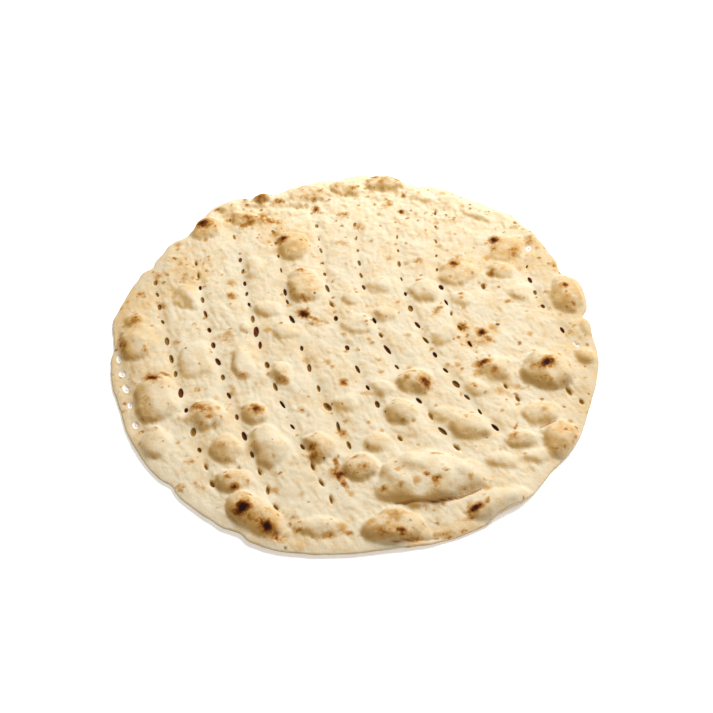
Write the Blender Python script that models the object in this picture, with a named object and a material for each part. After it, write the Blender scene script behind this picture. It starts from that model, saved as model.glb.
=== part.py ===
# A taftoon: one thin round flatbread, docked with rows of pin holes, blistered
# all over and a little curled at its rim. It lies on its flat underside, with
# its middle over the origin and the table at z = 0.
import math

import bpy
from mathutils import Vector
from mathutils.geometry import delaunay_2d_cdt

MM = 0.001

# The sheet of dough.
BREAD_RADIUS = 199.0 * MM
MIDDLE_THICKNESS = 4.4 * MM
RIM_THICKNESS = 3.0 * MM
RIM_WIDTH = 26.0 * MM
EDGE_ROUNDING = 1.5 * MM
WAVE_HEIGHT = 0.7 * MM
WAVE_LENGTH = 74.0 * MM

# The rim curls up from the table outside this share of the radius.
CURL_START = 0.9
CURL_HEIGHT = 1.2 * MM
FAR_CURL = 2.2 * MM

# The far rim, at +Y, is also swollen into a low ridge.
RIDGE_HEIGHT = 2.2 * MM
RIDGE_PLACE = 0.93
RIDGE_SPREAD = 0.05

# Where the outline swells or draws in: direction and spread in degrees, then
# millimetres.
OUTLINE_LOBES = (
    (2, 5, -2.5), (6.5, 1.7, -4.5), (15, 6, 4.5), (22, 2.2, -5.5),
    (45, 10, 6.5), (63, 6, 2.5), (74, 2.5, -3.0), (84, 6.5, 7.0), (95.5, 3, -2.5),
    (113, 7, -7.5), (128, 8, 6.5), (142, 4, -6.0), (156, 4, -2.5), (164, 6, 2.5),
    (176, 6, 3.5), (182, 4, -2.0), (203, 5, -2.0), (227, 2.0, -2.5), (246, 2.0, -3.0),
    (252, 11, 4.5), (277, 9, -2.5), (302, 4, -2.5), (317, 6, -3.0), (338, 8, -2.5),
)
OUTLINE_POINTS = 168

# Pin holes. A row keeps its place in x at ROW_BEND_Y. Below that it leans and
# bends to +X, where the dough was dragged in, and above it the rows fan out.
# Each row, in millimetres: place in x, y of its holes, y of the pins that only
# dented the dough.
PIN_ROWS = (
    (-224, (-25, -40, -55, -71, -90), ()),
    (-179, (47, 32, 15, -6, -25, -41, -60, -77, -97, -113), (61, -129, -143)),
    (-140, (54, 40, 24, 6, -11, -28, -44, -62, -83, -101, -118), (84, 69, -133, -148, -162, -173)),
    (-100, (140, 119, 89, 74, 60, 48, 35, 18, 4, -10, -32, -54, -71, -92, -111), (-128, -142, -156)),
    (-66, (125, 110, 93, 76, 49, 38, 18, -14, -34, -55, -73, -92, -109), ()),
    (-28, (155, 134, 116, 101, 85, 71, 54, 19, -13, -36, -55, -71), (35, -84, -103)),
    (4, (135, 117, 101, 85, 70, 55, 16, -15, -33, -67, -96), (0, -82, -111)),
    (39, (119, 101, 84, 65, 47, 30, 12, -5, -21, -37, -51, -64, -78, -93), ()),
    (72, (174, 132, 113, 94, 77, 55, 38, 8, -9), (151, 25, -53, -65)),
    (109, (), (56, -58, -68)),
    (152, (103, 81, 64, 49, 33, 6, -9), ()),
)
ROW_BEND_Y = 80.0 * MM
ROW_LEAN = 0.0985
ROW_LEAN_CHANGE = -0.80
ROW_BEND = 1.44
ROW_BEND_SPREAD = 147.0 * MM
ROW_FAN = -0.09
ROW_FAN_CHANGE = 1.77
PIN_SIDES = 6
PIN_LENGTH = 6.6 * MM
PIN_WIDTH = 3.5 * MM
PIN_TAPER = 0.5
PIN_VARIES = 0.22
PIN_PINCH = 0.9 * MM
DENT_DEPTH = 1.6 * MM

# Pins further towards +Y than this went in less, and are smaller by this share.
SMALL_PIN_Y = 20.0 * MM
SMALL_PIN_REACH = 90.0 * MM
SMALL_PIN_SHARE = 0.26

# Blisters, in millimetres: centre x and y, half length, half width, turn in
# degrees, height.
BLISTERS = (
    # behind, on the left
    (-137, 127, 16, 15, 0, 6.5), (-118, 156, 10, 8, 0, 4.0), (-88, 170, 11, 9, 0, 6.5),
    (-57, 105, 18, 18, 0, 6.0), (-44, 56, 22, 16, 108, 5.5), (-92, 78, 14, 11, 90, 3.0),
    (-143, 42, 17, 13, 120, 4.5), (-184, 14, 10, 8, 0, 3.5), (-104, 142, 24, 8, -12, 3.5),
    # left
    (-179, -9, 19, 18, 100, 7.0), (-154, -67, 24, 19, 90, 8.0), (-150, -107, 14, 13, 90, 5.0),
    (-129, -27, 20, 16, 90, 4.0), (-91, -30, 16, 10, 100, 4.2), (-88, 9, 9, 7, 0, 3.0),
    (-60, -41, 13, 10, 130, 4.5), (-115, -82, 16, 15, 0, 5.5), (-78, -81, 11, 10, 0, 5.0),
    (-74, 29, 13, 10, 0, 3.5), (-57, 5, 13, 11, 0, 3.5), (-96, -113, 13, 13, 90, 5.5),
    # front, on the left
    (-65, -110, 20, 16, 120, 7.5), (-28, -112, 15, 13, 0, 6.0), (-88, -141, 14, 12, 0, 5.5),
    (-71, -168, 25, 14, -35, 8.0), (-25, -178, 19, 9, 0, 4.0), (5, -129, 14, 12, 0, 6.0),
    (17, -107, 11, 10, 0, 4.0),
    # front, on the right
    (50, -138, 34, 25, 8, 11.0), (29, -147, 15, 12, 10, 5.0), (78, -136, 21, 13, 14, 6.0),
    (27, -178, 23, 14, 6, 9.0), (104, -160, 27, 13, 12, 7.0),
    (89, -93, 18, 13, 0, 6.5), (70, -81, 10, 8, 0, 3.0), (36, -79, 14, 12, 0, 6.0),
    (48, -49, 15, 13, 0, 7.0), (108, -123, 14, 8, 0, 3.0), (136, -118, 15, 6, 15, 3.0),
    # right
    (112, -36, 14, 14, 0, 6.5), (154, -38, 22, 20, 0, 10.5), (187, -21, 10, 9, 0, 4.5),
    (182, 46, 23, 15, 85, 8.0), (143, -80, 17, 12, 10, 5.0), (156, -104, 18, 15, 60, 8.0),
    (125, -104, 12, 9, 0, 4.5), (193, 12, 12, 6, 90, 3.0),
    # middle
    (61, 50, 15, 14, 0, 5.0), (88, 72, 20, 15, 10, 4.5), (92, 42, 12, 8, 0, 2.5),
    (73, -1, 14, 9, 50, 4.0), (21, 55, 11, 10, 0, 3.0), (-3, 41, 9, 8, 0, 3.0),
    (23, 23, 13, 10, 0, 3.0), (4, 13, 17, 11, -15, 3.0), (-8, -71, 12, 9, 0, 3.0),
    (95, -56, 11, 9, 0, 3.0), (20, -56, 12, 8, 0, 3.0), (145, 49, 14, 10, 0, 3.0),
    # behind, on the right and along the far rim
    (128, 74, 14, 11, 0, 4.0), (138, 102, 22, 14, 40, 3.5), (28, 190, 20, 12, 0, 5.0),
    (-8, 184, 17, 11, 0, 4.0), (-44, 176, 20, 11, 15, 4.0), (64, 172, 14, 9, 0, 2.5),
    (112, 150, 18, 9, -35, 2.5),
)
BLISTER_STEEPNESS = 2.4

# How finely the top is divided, in the flat and round a blister.
FLAT_SPACING = 12.0 * MM
BLISTER_RINGS = ((0.42, 0.0), (0.7, 0.5), (0.9, 0.0), (1.06, 0.5))
RING_SPACING = 6.6 * MM
LEAST_GAP = 3.3 * MM
UNDERSIDE_SPACING = 26.0 * MM

CRUST_COLOUR = (0.79, 0.63, 0.40, 1.0)
CRUST_ROUGHNESS = 0.85


def ease(share):
    """A step from 0 to 1 with level ends."""
    share = min(max(share, 0.0), 1.0)
    return share * share * (3.0 - 2.0 * share)


def outline_radius(angle):
    """How far the edge lies from the middle in a direction, in radians."""
    radius = BREAD_RADIUS
    for direction, spread, swell in OUTLINE_LOBES:
        turn = (math.degrees(angle) - direction + 180.0) % 360.0 - 180.0
        radius += swell * MM * math.exp(-((turn / spread) ** 2))
    return radius


def distance_to_edge(x, y):
    return outline_radius(math.atan2(y, x)) - math.hypot(x, y)


def blister_share(blister, x, y):
    """0 at a blister's centre, 1 at its foot, more outside it."""
    centre_x, centre_y, half_length, half_width, turn, _ = blister
    angle = math.radians(turn)
    away_x = x - centre_x * MM
    away_y = y - centre_y * MM
    along = away_x * math.cos(angle) + away_y * math.sin(angle)
    across = away_y * math.cos(angle) - away_x * math.sin(angle)
    return math.hypot(along / (half_length * MM), across / (half_width * MM))


def puff(x, y):
    """How far the blisters lift the skin. Where two meet, they blend."""
    total = 0.0
    for blister in BLISTERS:
        share = blister_share(blister, x, y)
        if share < 1.0:
            lift = blister[5] * MM * (1.0 - share**BLISTER_STEEPNESS)
            total += lift * lift
    return math.sqrt(total)


def underside(x, y):
    """The underside is flat on the table, and its rim curls up a little."""
    angle = math.atan2(y, x)
    share = math.hypot(x, y) / outline_radius(angle)
    curl = CURL_HEIGHT * (0.7 + 0.3 * math.sin(3.0 * angle + 0.6))
    curl += FAR_CURL * max(math.sin(angle), 0.0) ** 2
    return curl * ease((share - CURL_START) / (1.0 - CURL_START))


def ridge(x, y):
    """The low ridge along the far rim."""
    angle = math.atan2(y, x)
    share = math.hypot(x, y) / outline_radius(angle)
    along = max(math.sin(angle), 0.0) ** 1.5
    return RIDGE_HEIGHT * along * math.exp(-(((share - RIDGE_PLACE) / RIDGE_SPREAD) ** 2))


def top(x, y):
    """The height of the upper skin, away from the pins."""
    inside = ease(distance_to_edge(x, y) / RIM_WIDTH)
    thickness = RIM_THICKNESS + (MIDDLE_THICKNESS - RIM_THICKNESS) * inside
    turn = 2.0 * math.pi / WAVE_LENGTH
    wave = math.sin(x * turn + 1.3 * math.sin(y * turn * 0.7)) * math.cos(y * turn * 1.15 - x * 9.0)
    lift = math.hypot(puff(x, y), ridge(x, y))
    return underside(x, y) + thickness + WAVE_HEIGHT * wave * inside + lift


def row_lean(place, y):
    """How far a row has leaned to +X at this y, and how fast it leans there."""
    below = max(ROW_BEND_Y - y, 0.0)
    above = max(y - ROW_BEND_Y, 0.0)
    lean = ROW_LEAN + ROW_LEAN_CHANGE * place
    bend = ROW_BEND * math.exp(place / ROW_BEND_SPREAD)
    fan = ROW_FAN + ROW_FAN_CHANGE * place
    slope = lean + 2.0 * bend * below if below else -fan
    return lean * below + bend * below * below + fan * above, slope


def pin_places():
    """Each pin: x, y, the direction its hole runs in, and whether it is a dent."""
    pins = []
    for row, holes, dents in PIN_ROWS:
        place = row * MM
        for at in holes + dents:
            lean, slope = row_lean(place, at * MM)
            pins.append((place + lean, at * MM, math.atan2(-1.0, slope), at in dents))
    return pins


def pin_ring(pin, scale):
    """The corners of a pin's elongated hole. Some pins went in deeper and tore more."""
    x, y, direction, _ = pin
    scale *= 1.0 + PIN_VARIES * math.sin(x * 140.0 + 2.6 * math.sin(y * 95.0))
    scale *= 1.0 - SMALL_PIN_SHARE * ease((y - SMALL_PIN_Y) / SMALL_PIN_REACH)
    ring = []
    for side in range(PIN_SIDES):
        angle = 2.0 * math.pi * side / PIN_SIDES
        along = math.cos(angle) * PIN_LENGTH * 0.5 * scale
        across = math.sin(angle) * PIN_WIDTH * 0.5 * scale
        ring.append((
            x + along * math.cos(direction) - across * math.sin(direction),
            y + along * math.sin(direction) + across * math.cos(direction),
        ))
    return ring


def outline(inset):
    """The edge of the bread, drawn in by an inset."""
    points = []
    for step in range(OUTLINE_POINTS):
        angle = 2.0 * math.pi * step / OUTLINE_POINTS
        radius = outline_radius(angle) - inset
        points.append((radius * math.cos(angle), radius * math.sin(angle)))
    return points


class Spread:
    """Points of a sheet that keep a least distance from each other."""

    def __init__(self, fixed, gap):
        self.gap = gap
        self.cells = {}
        for point in fixed:
            self.keep(point)

    def cell(self, point):
        return int(point[0] // self.gap), int(point[1] // self.gap)

    def keep(self, point):
        self.cells.setdefault(self.cell(point), []).append(point)

    def free(self, point):
        column, line = self.cell(point)
        for i in range(column - 1, column + 2):
            for j in range(line - 1, line + 2):
                for other in self.cells.get((i, j), ()):
                    if math.dist(point, other) < self.gap:
                        return False
        return True


def blister_points():
    """Rings of points that follow each blister's shape, with one on its top."""
    points = [(blister[0] * MM, blister[1] * MM) for blister in BLISTERS]
    for centre_x, centre_y, half_length, half_width, turn, _ in BLISTERS:
        tilt = math.radians(turn)
        for scale, shift in BLISTER_RINGS:
            length = 2.0 * math.pi * 0.5 * (half_length + half_width) * scale * MM
            count = max(6, round(length / RING_SPACING))
            for step in range(count):
                angle = 2.0 * math.pi * (step + shift) / count
                along = half_length * scale * math.cos(angle) * MM
                across = half_width * scale * math.sin(angle) * MM
                points.append((
                    centre_x * MM + along * math.cos(tilt) - across * math.sin(tilt),
                    centre_y * MM + along * math.sin(tilt) + across * math.cos(tilt),
                ))
    return points


def grid_points(spacing):
    """A triangular grid over the whole bread."""
    points = []
    line_gap = spacing * math.sqrt(3.0) / 2.0
    lines = math.ceil(BREAD_RADIUS * 1.05 / line_gap)
    columns = math.ceil(BREAD_RADIUS * 1.05 / spacing)
    for line in range(-lines, lines + 1):
        for column in range(-columns, columns + 1):
            points.append(((column + 0.5 * (line % 2)) * spacing, line * line_gap))
    return points


def inner_points(candidates, fixed, gap, margin):
    """Those of the candidates that keep clear of the edge, the pins and each other."""
    spread = Spread(fixed, gap)
    chosen = []
    for point in candidates:
        if distance_to_edge(*point) > margin and spread.free(point):
            spread.keep(point)
            chosen.append(point)
    return chosen


def triangulate(rim, open_rings, closed_rings, inner):
    """Triangles over the sheet, with edges along all the rings."""
    points = list(rim)
    edges = [(step, (step + 1) % len(rim)) for step in range(len(rim))]
    owner = [-1] * len(rim)
    for number, ring in enumerate(open_rings + closed_rings):
        start = len(points)
        points += ring
        owner += [number if number < len(open_rings) else -1] * len(ring)
        edges += [(start + side, start + (side + 1) % len(ring)) for side in range(len(ring))]
    points += inner
    owner += [-1] * len(inner)
    found = delaunay_2d_cdt([Vector(point) for point in points], edges, [], 1, 1e-7)
    source = [numbers[0] for numbers in found[3]]
    triangles = []
    for face in found[2]:
        corners = [source[corner] for corner in face]
        holders = {owner[corner] for corner in corners}
        if len(holders) > 1 or -1 in holders:
            triangles.append(corners)
    return points, triangles


def make_bread():
    """The bread's vertices and faces, as one closed skin."""
    pins = pin_places()
    holes = [pin for pin in pins if not pin[3]]
    dents = [pin for pin in pins if pin[3]]
    hole_rings = [pin_ring(pin, 1.0) for pin in holes]
    dent_rings = [pin_ring(pin, 1.0) for pin in dents]

    upper_rim = outline(EDGE_ROUNDING)
    fixed = upper_rim + [corner for ring in hole_rings + dent_rings for corner in ring]
    dent_middles = [(pin[0], pin[1]) for pin in dents]
    candidates = blister_points()
    spread_out = inner_points(candidates, fixed, LEAST_GAP, 4.5 * MM)
    flat = inner_points(grid_points(FLAT_SPACING), fixed + spread_out, FLAT_SPACING * 0.62, 5.0 * MM)
    inner = dent_middles + spread_out + flat
    points, upper_faces = triangulate(upper_rim, hole_rings, dent_rings, inner)

    vertices = []
    dented = set(dent_middles)
    pinched = set(corner for ring in hole_rings + dent_rings for corner in ring)
    for point in points:
        height = top(*point)
        if point in dented:
            height -= DENT_DEPTH
        elif point in pinched:
            height -= PIN_PINCH
        vertices.append((point[0], point[1], height))
    faces = [tuple(face) for face in upper_faces]

    lower_rings = [pin_ring(pin, PIN_TAPER) for pin in holes]
    lower_rim = outline(EDGE_ROUNDING)
    lower_fixed = lower_rim + [corner for ring in lower_rings for corner in ring]
    lower_inner = inner_points(
        grid_points(UNDERSIDE_SPACING), lower_fixed, UNDERSIDE_SPACING * 0.4, 12.0 * MM
    )
    points, lower_faces = triangulate(lower_rim, lower_rings, [], lower_inner)
    start = len(vertices)
    vertices += [(x, y, underside(x, y)) for x, y in points]
    faces += [tuple(start + corner for corner in reversed(face)) for face in lower_faces]

    # The rounded edge, by way of a line at the full radius.
    middle = len(vertices)
    for x, y in outline(0.0):
        vertices.append((x, y, 0.5 * (top(x, y) + underside(x, y))))
    for step in range(OUTLINE_POINTS):
        after = (step + 1) % OUTLINE_POINTS
        faces.append((middle + step, middle + after, after, step))
        faces.append((start + step, start + after, middle + after, middle + step))

    # The walls of the pin holes.
    first = OUTLINE_POINTS
    for hole in range(len(holes)):
        for side in range(PIN_SIDES):
            here = first + hole * PIN_SIDES + side
            after = first + hole * PIN_SIDES + (side + 1) % PIN_SIDES
            faces.append((here, after, start + after, start + here))
    return vertices, faces


def centred(vertices):
    """The vertices moved along the table, so that the bread's middle is over the origin."""
    middles = []
    for axis in (0, 1):
        along = [vertex[axis] for vertex in vertices]
        middles.append(0.5 * (min(along) + max(along)))
    return [(x - middles[0], y - middles[1], z) for x, y, z in vertices]


def crust_material():
    material = bpy.data.materials.new("crust")
    material.use_nodes = True
    shader = material.node_tree.nodes["Principled BSDF"]
    shader.inputs["Base Color"].default_value = CRUST_COLOUR
    shader.inputs["Roughness"].default_value = CRUST_ROUGHNESS
    shader.inputs["Metallic"].default_value = 0.0
    return material


def main():
    for old in list(bpy.data.objects):
        bpy.data.objects.remove(old, do_unlink=True)
    vertices, faces = make_bread()
    mesh = bpy.data.meshes.new("taftoon")
    mesh.from_pydata(centred(vertices), [], faces)
    mesh.validate()
    bread = bpy.data.objects.new("taftoon", mesh)
    bpy.context.scene.collection.objects.link(bread)
    bread.data.materials.append(crust_material())


main()
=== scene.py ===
import math

import bmesh
import bpy
import numpy as np
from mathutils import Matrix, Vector, noise
from mathutils.bvhtree import BVHTree
from mathutils.geometry import delaunay_2d_cdt


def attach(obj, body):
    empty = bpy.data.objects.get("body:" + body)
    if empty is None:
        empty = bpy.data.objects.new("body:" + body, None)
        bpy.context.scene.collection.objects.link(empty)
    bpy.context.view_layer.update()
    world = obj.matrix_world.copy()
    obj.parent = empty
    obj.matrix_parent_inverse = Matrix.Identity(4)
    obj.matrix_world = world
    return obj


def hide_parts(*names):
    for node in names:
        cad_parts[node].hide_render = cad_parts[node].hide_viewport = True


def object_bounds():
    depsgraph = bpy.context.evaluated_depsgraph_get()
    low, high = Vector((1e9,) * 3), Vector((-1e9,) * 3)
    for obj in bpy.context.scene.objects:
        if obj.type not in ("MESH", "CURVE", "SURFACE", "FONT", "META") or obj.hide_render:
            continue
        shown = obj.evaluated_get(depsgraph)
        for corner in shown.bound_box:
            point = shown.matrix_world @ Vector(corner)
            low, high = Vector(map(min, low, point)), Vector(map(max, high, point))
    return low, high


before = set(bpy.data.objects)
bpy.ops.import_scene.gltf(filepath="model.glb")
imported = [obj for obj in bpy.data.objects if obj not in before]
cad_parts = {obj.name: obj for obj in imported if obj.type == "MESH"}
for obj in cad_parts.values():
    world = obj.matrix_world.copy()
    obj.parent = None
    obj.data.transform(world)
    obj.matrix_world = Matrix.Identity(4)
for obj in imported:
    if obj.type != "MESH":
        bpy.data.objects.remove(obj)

cadLow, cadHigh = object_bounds()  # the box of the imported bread, before anything is added
mm = 0.001
up, down = Vector((0, 0, 1)), Vector((0, 0, -1))


class Level:
    # one number that varies over a surface; sums and products on it add Math nodes

    def __init__(self, maker, socket):
        self.maker = maker
        self.socket = socket

    def calc(self, operation, *others):
        values = {0: self}
        for place, other in enumerate(others, 1):
            values[place] = other
        node = self.maker.add(self.maker.mathType, {"operation": operation}, values)
        return Level(self.maker, node.outputs[0])

    def swapped(self, operation, other):
        node = self.maker.add(self.maker.mathType, {"operation": operation}, {0: other, 1: self})
        return Level(self.maker, node.outputs[0])

    def __add__(self, other):
        return self.calc("ADD", other)

    def __sub__(self, other):
        return self.calc("SUBTRACT", other)

    def __mul__(self, other):
        return self.calc("MULTIPLY", other)

    def __truediv__(self, other):
        return self.calc("DIVIDE", other)

    def __rsub__(self, other):
        return self.swapped("SUBTRACT", other)

    def __rtruediv__(self, other):
        return self.swapped("DIVIDE", other)

    __radd__ = __add__
    __rmul__ = __mul__

    def most(self, other):
        return self.calc("MAXIMUM", other)

    def step(self, low, high, start=0.0, end=1.0):
        # from start to end, softly, as this number goes from low to high
        inputs = {"Value": self, "From Min": low, "From Max": high, "To Min": start, "To Max": end}
        node = self.maker.add("ShaderNodeMapRange", {"interpolation_type": "SMOOTHSTEP"}, inputs)
        return Level(self.maker, node.outputs["Result"])


class Maker:
    # adds nodes to one tree

    mathType = "ShaderNodeMath"

    def __init__(self, tree):
        self.tree = tree

    def add(self, kind, settings=None, inputs=None):
        node = self.tree.nodes.new(kind)
        for name, value in (settings or {}).items():
            setattr(node, name, value)
        for name, value in (inputs or {}).items():
            socket = node.inputs[name]
            if isinstance(value, Level):
                value = value.socket
            if isinstance(value, bpy.types.NodeSocket):
                self.tree.links.new(value, socket)
            else:
                socket.default_value = value
        return node

    def noise(self, place, size, detail, roughness, seed, distortion=0.0):
        values = {"Vector": place, "W": seed, "Scale": 1.0 / size, "Detail": detail,
                  "Roughness": roughness, "Distortion": distortion}
        return Level(self, self.add("ShaderNodeTexNoise", {"noise_dimensions": "4D"}, values).outputs[0])

    def cells(self, place, scale):
        # a field of cells, each with the distance from its middle and a colour by chance
        return self.add("ShaderNodeTexVoronoi", {"feature": "F1"}, {"Vector": place, "Scale": scale}).outputs

    def vector(self, operation, first, second):
        second = {"Scale" if operation == "SCALE" else 1: second}
        return self.add("ShaderNodeVectorMath", {"operation": operation}, {0: first, **second}).outputs

    def blend(self, share, first, second):
        # the first colour where the share is 0, the second where it is 1
        settings = {"data_type": "RGBA", "clamp_factor": True}
        return self.add("ShaderNodeMix", settings, {"Factor": share, 6: first, 7: second}).outputs[2]


def tone(code):
    # a colour written as red, green and blue in hexadecimal, as linear light
    values = []
    for start in (0, 2, 4):
        value = int(code[start:start + 2], 16) / 255
        values.append(value / 12.92 if value <= 0.04045 else ((value + 0.055) / 1.055) ** 2.4)
    return (*values, 1.0)


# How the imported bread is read: its pins, dents, outline and heights.
cadRead = {
    "undersideTurn": -0.9,   # faces whose normal points down more than this are the underside
    "skinTurn": 0.42,        # and up more than this the upper skin
    "dentTurn": 0.8,         # a dent's middle points up more than this,
    "dentRise": 0.25 * mm,   # lies this far under all that surrounds it,
    "dentReach": 4.6 * mm,   # which is no further away than this
    "rimStep": 0.3 * mm,     # the outline stands out past the underside by more than this
    "probeStart": 100 * mm,  # heights are felt for from this far off,
    "probeRest": 4 * mm,     # or, where nothing is met, on the nearest face to this height
}


def mergedCopy(node):
    # the node's loose triangles, joined at their corners
    shape = bmesh.new()
    shape.from_mesh(node.data)
    bmesh.ops.remove_doubles(shape, verts=shape.verts, dist=0.001 * mm)
    shape.normal_update()
    shape.verts.index_update()
    return shape


def loopsAround(faces):
    # the closed lines of corners where a patch of faces ends
    patch = set(faces)
    nextCorner = {}
    for face in faces:
        for loop in face.loops:
            if sum(other in patch for other in loop.edge.link_faces) == 1:
                nextCorner[loop.vert] = loop.link_loop_next.vert
    loops = []
    while nextCorner:
        start = next(iter(nextCorner))
        line, here = [start], nextCorner.pop(start)
        while here != start:
            line.append(here)
            here = nextCorner.pop(here)
        loops.append(line)
    return sorted(loops, key=len)


def ovalOf(corners):
    # the middle, half length, half width and direction of a ring of corners
    places = np.array([corner.co[:2] for corner in corners])
    middle = places.mean(axis=0)
    away = places - middle
    far = away[np.argmax(np.hypot(*away.T))]
    length = float(np.hypot(*far))
    along = far / length
    widest = np.abs(away @ np.array((-along[1], along[0]))).max()
    across = widest / math.sin(math.pi / 3)  # the ring has six corners, at every 60 degrees
    return (*middle, length, float(across), *along)


def readBread(shape):
    # the pins as pairs of ovals, above and below, the dents' middles and the outline
    underside = [face for face in shape.faces if face.normal.z < cadRead["undersideTurn"]]
    patch = set(underside)
    *pinLoops, rimLoop = loopsAround(underside)
    pins = []
    for loop in pinLoops:
        walls = [face for corner in loop for face in corner.link_faces if face not in patch]
        mouth = {corner for face in walls for corner in face.verts} - set(loop)
        mouth = sorted(mouth, key=lambda corner: corner.index)  # in the same order each run
        pins.append((ovalOf(mouth), ovalOf(loop)))
    dents = []
    for corner in shape.verts:
        around = [edge.other_vert(corner) for edge in corner.link_edges]
        lowest = min(other.co.z for other in around)
        if corner.normal.z > cadRead["dentTurn"] and corner.co.z < lowest - cadRead["dentRise"]:
            if max((other.co - corner.co).length for other in around) < cadRead["dentReach"]:
                dents.append(tuple(corner.co.xy))
    outline = []
    for corner in rimLoop:
        around = [edge.other_vert(corner) for edge in corner.link_edges]
        reach = corner.co.xy.length + cadRead["rimStep"]
        outer = [other for other in around if other.co.xy.length > reach]
        nearest = min(outer, key=lambda other: (other.co - corner.co).length)
        outline.append(tuple(nearest.co.xy))
    return pins, dents, outline


def heightFinder(shape, wanted, heading):
    # the height of the bread's faces straight above or below a place
    faces = [[corner.index for corner in face.verts] for face in shape.faces if wanted(face)]
    tree = BVHTree.FromPolygons([corner.co for corner in shape.verts], faces)
    start = -heading.z * cadRead["probeStart"]

    def heights(x, y):
        found = np.empty(len(x))
        for number, place in enumerate(zip(x.tolist(), y.tolist())):
            spot = tree.ray_cast((*place, start), heading)[0]
            if spot is None:
                spot = tree.find_nearest((*place, cadRead["probeRest"]))[0]
            found[number] = spot.z
        return found

    return heights


cadShape = mergedCopy(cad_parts["taftoon"])
pins, dentPlaces, outlinePoints = readBread(cadShape)
skinHeight = heightFinder(cadShape, lambda face: face.normal.z > cadRead["skinTurn"], down)
baseHeight = heightFinder(cadShape, lambda face: face.normal.z < cadRead["undersideTurn"], up)
print("read", len(pins), "pins,", len(dentPlaces), "dents and", len(outlinePoints), "outline points")

# The sheet of dough: its points, its rim, its pins and dents.
sheet = {
    "skinGap": 1.45 * mm,     # between neighbouring points of the upper skin,
    "skinClear": (0.7, 0.55),  # which keep this many gaps from the edge and from the pins
    "baseGap": 4.0 * mm,      # between the points of the underside
    "baseClear": (0.6, 0.5),
    "rimPoints": 840,
    "rimRings": 5,            # rings of points round the edge, between skin and underside
    "rimInset": 1.5 * mm,     # the skin's edge lies this far inside the rim
    "rimHold": 2.2 * mm,      # heights nearer the edge are those of this far in
    "rimJitter": 2.6 * mm,    # how ragged the rim is behind,
    "rimCalm": 0.25,          # and what share of that is left in front
    "calmLean": 0.3,          # the line where it begins to grow rises this much to the right,
    "calmFrom": 30 * mm,      # passes this far in front of the middle,
    "calmReach": 110 * mm,    # and has it all this far behind itself
    "rimSmoothing": 8,
    "pinSides": 14,
    "pinLip": 0.9 * mm,       # a second ring lies this far outside a pin's mouth
    "pinLevels": ((0.16, 0.90), (0.44, 0.66), (0.60, 0.06)),  # how far down a wall, how wide
    "pinLonger": 1.16,
    "pinWider": 0.9,
    "pinVaries": 0.30,        # how much pins differ in length and width,
    "pinSpread": (-0.9, 0.8),  # mostly towards the smaller
    "pinTurns": 14.0,         # degrees that they are turned by at most
    "rimPinReach": 19 * mm,   # pins this near the rim are wider
    "rimPinWider": 1.4,
    "shallowFrom": 40 * mm,   # pins beyond this y are shallower,
    "shallowReach": 80 * mm,  # fully so this much further on,
    "shallowShare": 0.6,      # by this share of their depth
    "dentSize": (3.5 * mm, 1.3 * mm),
    "dentScales": (1.3, 0.95, 0.6, 0.25),  # rings of points in each dent
    "facetSmoothing": 12,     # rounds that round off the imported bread's flat faces
    "seed": 7,
}


def easedShare(values):
    # from 0 to 1 with a soft start and end
    share = np.clip(values, 0, 1)
    return share * share * (3 - 2 * share)


def closedCurve(points, count):
    # this many points on a smooth closed curve through the given ones
    points = np.asarray(points)
    place = np.arange(count) * len(points) / count
    first = place.astype(int)
    share = (place - first)[:, None]
    a, b, c, d = (points[(first + shift) % len(points)] for shift in (-1, 0, 1, 2))
    return 0.5 * (2 * b + (c - a) * share + (2 * a - 5 * b + 4 * c - d) * share**2
                  + (3 * b - a - 3 * c + d) * share**3)


def variedPin(mouth):
    # a pin's mouth, a little longer or shorter and turned off its row
    x, y, length, width, alongX, alongY = mouth
    if awayFrom(packedRim, x, y) < sheet["rimPinReach"]:
        width *= sheet["rimPinWider"]
    longer, wider = 1 + sheet["pinVaries"] * rng.uniform(*sheet["pinSpread"], 2)
    angle = math.radians(sheet["pinTurns"]) * rng.uniform(-1, 1)
    turnedX = alongX * math.cos(angle) - alongY * math.sin(angle)
    turnedY = alongX * math.sin(angle) + alongY * math.cos(angle)
    length *= sheet["pinLonger"] * longer
    width *= sheet["pinWider"] * wider
    return x, y, length, width, turnedX, turnedY


def dentOval(place):
    # a dent is as long and wide as any other, and runs as the nearest pin does
    nearest = min((pin[0] for pin in pins), key=lambda mouth: math.dist(mouth[:2], place))
    return (*place, *sheet["dentSize"], *nearest[4:])


def ovalRing(oval, grow, sides):
    # the points round an oval that is grown outwards by a distance
    x, y, length, width, alongX, alongY = oval
    angle = np.arange(sides) * 2 * np.pi / sides
    along = np.cos(angle) * (length + grow)
    across = np.sin(angle) * (width + grow)
    return np.column_stack((x + along * alongX - across * alongY, y + along * alongY + across * alongX))


def ovalShare(oval, x, y, grow=0.0):
    # 0 in an oval's middle and 1 on its line
    middleX, middleY, length, width, alongX, alongY = oval
    awayX, awayY = x - middleX, y - middleY
    along = awayX * alongX + awayY * alongY
    across = awayY * alongX - awayX * alongY
    return np.hypot(along / (length + grow), across / (width + grow))


def triangularGrid(gap):
    # evenly spaced points, each with six neighbours
    lineGap = gap * math.sqrt(3) / 2
    reach = max(cadHigh.x, cadHigh.y)
    lines = np.arange(-math.ceil(reach / lineGap), math.ceil(reach / lineGap) + 1)
    columns = np.arange(-math.ceil(reach / gap), math.ceil(reach / gap) + 1)
    column, line = np.meshgrid(columns, lines)
    x = (column + 0.5 * (line % 2)) * gap
    return np.column_stack((x.ravel(), (line * lineGap).ravel()))


def inwards(points, inset):
    # a closed line of points, moved in towards the middle
    reach = np.hypot(*points.T)[:, None]
    return points * (1 - inset / reach)


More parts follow.
